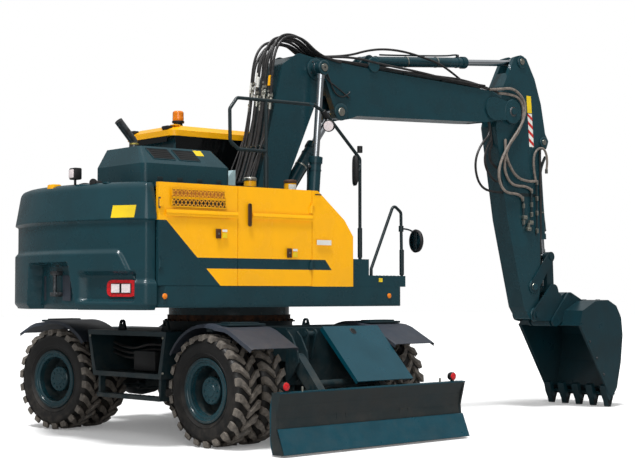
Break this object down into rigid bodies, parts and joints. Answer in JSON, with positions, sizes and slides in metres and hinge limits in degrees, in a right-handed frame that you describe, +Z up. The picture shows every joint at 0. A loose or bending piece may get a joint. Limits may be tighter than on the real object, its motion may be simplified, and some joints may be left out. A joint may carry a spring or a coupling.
{
  "type": "wheeled excavator",
  "caption": "Wheeled excavator with twin tyres, a dozer blade, a slewing upper structure with cab, a two-piece boom, an arm, a quick coupler and a toothed bucket.",
  "frame": {"origin": "centre of the bounding box, on the ground under the wheels", "axes": "+X the way the boom reaches, +Y towards the cab's side, +Z up; the undercarriage is slewed by 85.5 degrees, its blade end towards -Y"},
  "size_m": [7.95, 4.661, 4.3636],
  "materials": {
    "petrol_paint": "satin",
    "yellow_paint": "gloss",
    "chassis_paint": "satin",
    "blade_paint": "satin",
    "guard_plastic": "matte",
    "cylinder_paint": "satin",
    "rod_chrome": "polished",
    "tyre_rubber": "matte",
    "glass": "clear",
    "black_steel": "satin",
    "ring_steel": "worn",
    "engine_iron": "cast",
    "interior": "matte"
  },
  "bodies": {
    "chassis": {"chassis_frame": "chassis_paint", "slew_ring": "ring_steel", "axles": "chassis_paint", "drive_line": "chassis_paint", "tool_bays": "chassis_paint", "blade_bracket": "chassis_paint", "blade_end_mudguards": "guard_plastic"},
    "knuckle_right": {"knuckle_right": "chassis_paint"},
    "steering_rod": {"steering_rod": "rod_chrome"},
    "wheel_blade_end_right": {"rims_blade_end_right": "chassis_paint", "tyres_blade_end_right": "tyre_rubber"},
    "wheel_steered_right": {"rims_steered_right": "chassis_paint", "tyres_steered_right": "tyre_rubber"},
    "knuckle_left": {"knuckle_left": "chassis_paint"},
    "wheel_blade_end_left": {"rims_blade_end_left": "chassis_paint", "tyres_blade_end_left": "tyre_rubber"},
    "wheel_steered_left": {"rims_steered_left": "chassis_paint", "tyres_steered_left": "tyre_rubber"},
    "blade_arms": {"blade_arms": "blade_paint"},
    "blade_cover_plate": {"blade_cover_plate": "blade_paint"},
    "blade": {"blade": "blade_paint"},
    "blade_barrels": {"blade_barrels": "blade_paint"},
    "blade_rods": {"blade_rods": "rod_chrome"},
    "upper": {"upper_frame": "petrol_paint", "counterweight": "petrol_paint", "engine": "engine_iron", "rear_deck": "petrol_paint", "tank_block": "petrol_paint", "front_steps": "petrol_paint", "hand_rails": "black_steel", "fittings": "black_steel", "front_side_panel": "yellow_paint", "cab_shell": "petrol_paint", "cab_roof": "yellow_paint", "cab_glass": "glass", "cab_interior": "interior", "exhaust": "black_steel"},
    "engine_hood": {"engine_hood": "petrol_paint"},
    "rear_door_right": {"rear_door_right": "yellow_paint"},
    "pump_door_right": {"pump_door_right": "yellow_paint"},
    "rear_door_left": {"rear_door_left": "petrol_paint"},
    "cab_door": {"cab_door": "petrol_paint", "cab_door_glass": "glass"},
    "boom_base": {"boom_base": "petrol_paint"},
    "boom_upper": {"boom_upper": "petrol_paint"},
    "arm": {"arm": "petrol_paint"},
    "rocker": {"rocker": "petrol_paint"},
    "bucket_link": {"bucket_link": "petrol_paint"},
    "bucket": {"quick_coupler": "petrol_paint", "bucket": "petrol_paint"},
    "lift_barrels": {"lift_barrels": "cylinder_paint"},
    "lift_rods": {"lift_rods": "rod_chrome"},
    "adjust_barrel": {"adjust_barrel": "cylinder_paint"},
    "adjust_rod": {"adjust_rod": "rod_chrome"},
    "arm_barrel": {"arm_barrel": "cylinder_paint"},
    "arm_rod": {"arm_rod": "rod_chrome"},
    "bucket_barrel": {"bucket_barrel": "cylinder_paint"},
    "bucket_rod": {"bucket_rod": "rod_chrome"}
  },
  "joints": [
    {"name": "slew", "type": "hinge", "parent": "chassis", "child": "upper", "pos_m": [-1.785, -0.04261, 1.18], "axis": [0, 0, 1], "continuous": true},
    {"name": "boom_lift", "type": "hinge", "parent": "upper", "child": "boom_base", "pos_m": [-1.635, -0.09261, 1.9], "axis": [0, -1, 0], "range_deg": [-60, 13]},
    {"name": "lift_barrel_tilt", "type": "hinge", "parent": "upper", "child": "lift_barrels", "pos_m": [-1.005, -0.09261, 1.47], "axis": [0, -1, 0], "range_deg": [-60.5, 13.5]},
    {"name": "lift_rod_slide", "type": "slide", "parent": "lift_barrels", "child": "lift_rods", "axis": [0.0796, 0, 0.9968], "range_m": [-0.76499, 0.16731]},
    {"name": "boom_adjust", "type": "hinge", "parent": "boom_base", "child": "boom_upper", "pos_m": [-0.815, -0.09261, 3.85], "axis": [0, 1, 0], "range_deg": [-30, 28]},
    {"name": "adjust_barrel_tilt", "type": "hinge", "parent": "boom_base", "child": "adjust_barrel", "pos_m": [-1.345, -0.09261, 2.15], "axis": [0, -1, 0], "range_deg": [-4.1, 3.86]},
    {"name": "adjust_rod_slide", "type": "slide", "parent": "adjust_barrel", "child": "adjust_rod", "axis": [0.5867, 0, 0.8098], "range_m": [-0.24635, 0.2638]},
    {"name": "arm_swing", "type": "hinge", "parent": "boom_upper", "child": "arm", "pos_m": [2.325, -0.09261, 3.645], "axis": [0, -1, 0], "range_deg": [-53, 60]},
    {"name": "arm_barrel_tilt", "type": "hinge", "parent": "boom_upper", "child": "arm_barrel", "pos_m": [0.055, -0.09261, 4.045], "axis": [0, 1, 0], "range_deg": [-5.3, 4.74]},
    {"name": "arm_rod_slide", "type": "slide", "parent": "arm_barrel", "child": "arm_rod", "axis": [0.9955, 0, 0.0949], "range_m": [-0.5256, 0.46451]},
    {"name": "bucket_curl", "type": "hinge", "parent": "arm", "child": "bucket", "pos_m": [2.74, -0.09261, 1.165], "axis": [0, 1, 0], "range_deg": [-8, 150]},
    {"name": "rocker_tilt", "type": "hinge", "parent": "arm", "child": "rocker", "pos_m": [2.72, -0.09261, 1.51], "axis": [0, 1, 0], "range_deg": [-6.76, 117.95]},
    {"name": "bucket_link_tilt", "type": "hinge", "parent": "rocker", "child": "bucket_link", "pos_m": [3.03, -0.09261, 1.885], "axis": [0, 1, 0], "range_deg": [-73.25, 4.38]},
    {"name": "bucket_barrel_tilt", "type": "hinge", "parent": "arm", "child": "bucket_barrel", "pos_m": [2.915, -0.09261, 3.31], "axis": [0, 1, 0], "range_deg": [-0.75, 5.24]},
    {"name": "bucket_rod_slide", "type": "slide", "parent": "bucket_barrel", "child": "bucket_rod", "axis": [0.0804, 0, -0.9968], "range_m": [-0.04563, 0.82012]},
    {"name": "blade_lift", "type": "hinge", "parent": "chassis", "child": "blade_arms", "pos_m": [-1.66731, -1.53798, 0.8], "axis": [-0.9969, -0.0785, 0], "range_deg": [-4, 38]},
    {"name": "blade_level", "type": "hinge", "parent": "blade_arms", "child": "blade", "pos_m": [-1.62926, -2.02149, 0.27], "axis": [-0.9969, -0.0785, 0], "range_deg": [-38.5, 4.5]},
    {"name": "cover_plate_tilt", "type": "hinge", "parent": "chassis", "child": "blade_cover_plate", "pos_m": [-1.66927, -1.51306, 1.045], "axis": [-0.9969, -0.0785, 0], "range_deg": [-4.5, 38.5]},
    {"name": "blade_barrel_tilt", "type": "hinge", "parent": "chassis", "child": "blade_barrels", "pos_m": [-1.67947, -1.38346, 0.47], "axis": [-0.9969, -0.0785, 0], "range_deg": [-3.48, 28.81]},
    {"name": "blade_rod_slide", "type": "slide", "parent": "blade_barrels", "child": "blade_rods", "axis": [0.0775, -0.985, -0.1541], "range_m": [-0.02448, 0.21556]},
    {"name": "steer_right", "type": "hinge", "parent": "chassis", "child": "knuckle_right", "pos_m": [-2.48137, 1.41325, 0.527], "axis": [0, 0, 1], "range_deg": [-33, 17]},
    {"name": "steer_left", "type": "hinge", "parent": "chassis", "child": "knuckle_left", "pos_m": [-1.32495, 1.50426, 0.527], "axis": [0, 0, 1], "range_deg": [-33.5, 17.5]},
    {"name": "steering_rod_slide", "type": "slide", "parent": "chassis", "child": "steering_rod", "axis": [0.9969, 0.0785, 0], "range_m": [-0.12462, 0.06517]},
    {"name": "wheel_blade_end_right_spin", "type": "hinge", "parent": "chassis", "child": "wheel_blade_end_right", "pos_m": [-2.64647, -1.20478, 0.527], "axis": [0.9969, 0.0785, 0], "continuous": true},
    {"name": "wheel_steered_right_spin", "type": "hinge", "parent": "knuckle_right", "child": "wheel_steered_right", "pos_m": [-2.48137, 1.41325, 0.527], "axis": [0.9763, 0.2164, 0], "continuous": true},
    {"name": "wheel_blade_end_left_spin", "type": "hinge", "parent": "chassis", "child": "wheel_blade_end_left", "pos_m": [-0.75233, -1.05571, 0.527], "axis": [0.9969, 0.0785, 0], "continuous": true},
    {"name": "wheel_steered_left_spin", "type": "hinge", "parent": "knuckle_left", "child": "wheel_steered_left", "pos_m": [-1.32495, 1.50426, 0.527], "axis": [0.9763, 0.2164, 0], "continuous": true},
    {"name": "cab_door_hinge", "type": "hinge", "parent": "upper", "child": "cab_door", "pos_m": [-1.836, 1.20939, 2.25], "axis": [0, 0, 1], "range_deg": [0, 165]},
    {"name": "rear_door_left_hinge", "type": "hinge", "parent": "upper", "child": "rear_door_left", "pos_m": [-3.466, 1.21439, 1.97], "axis": [0, 0, 1], "range_deg": [0, 95]},
    {"name": "rear_door_right_hinge", "type": "hinge", "parent": "upper", "child": "rear_door_right", "pos_m": [-3.466, -1.29961, 1.97], "axis": [0, 0, -1], "range_deg": [0, 95]},
    {"name": "pump_door_hinge", "type": "hinge", "parent": "upper", "child": "pump_door_right", "pos_m": [-1.697, -1.29961, 1.97], "axis": [0, 0, 1], "range_deg": [0, 95]},
    {"name": "engine_hood_hinge", "type": "hinge", "parent": "upper", "child": "engine_hood", "pos_m": [-2.557, -0.71761, 2.458], "axis": [0, 1, 0], "range_deg": [0, 50]}
  ],
  "couplings": [
    {"joint": "lift_barrel_tilt", "follows": "boom_lift", "ratio": 1},
    {"joint": "lift_rod_slide", "follows": "boom_lift", "m_per_rad": 0.7286},
    {"joint": "adjust_barrel_tilt", "follows": "boom_adjust", "ratio": 0.12},
    {"joint": "adjust_rod_slide", "follows": "boom_adjust", "m_per_rad": -0.5},
    {"joint": "arm_barrel_tilt", "follows": "arm_swing", "ratio": -0.08},
    {"joint": "arm_rod_slide", "follows": "arm_swing", "m_per_rad": -0.5},
    {"joint": "rocker_tilt", "follows": "bucket_curl", "ratio": 0.783},
    {"joint": "bucket_link_tilt", "follows": "bucket_curl", "ratio": -0.485},
    {"joint": "bucket_barrel_tilt", "follows": "bucket_curl", "ratio": 0.0316},
    {"joint": "bucket_rod_slide", "follows": "bucket_curl", "m_per_rad": 0.3125},
    {"joint": "blade_level", "follows": "blade_lift", "ratio": -1},
    {"joint": "cover_plate_tilt", "follows": "blade_lift", "ratio": 1},
    {"joint": "blade_barrel_tilt", "follows": "blade_lift", "ratio": 0.745},
    {"joint": "blade_rod_slide", "follows": "blade_lift", "m_per_rad": 0.322},
    {"joint": "steer_left", "follows": "steer_right", "ratio": 1},
    {"joint": "steering_rod_slide", "follows": "steer_right", "m_per_rad": 0.2129}
  ]
}
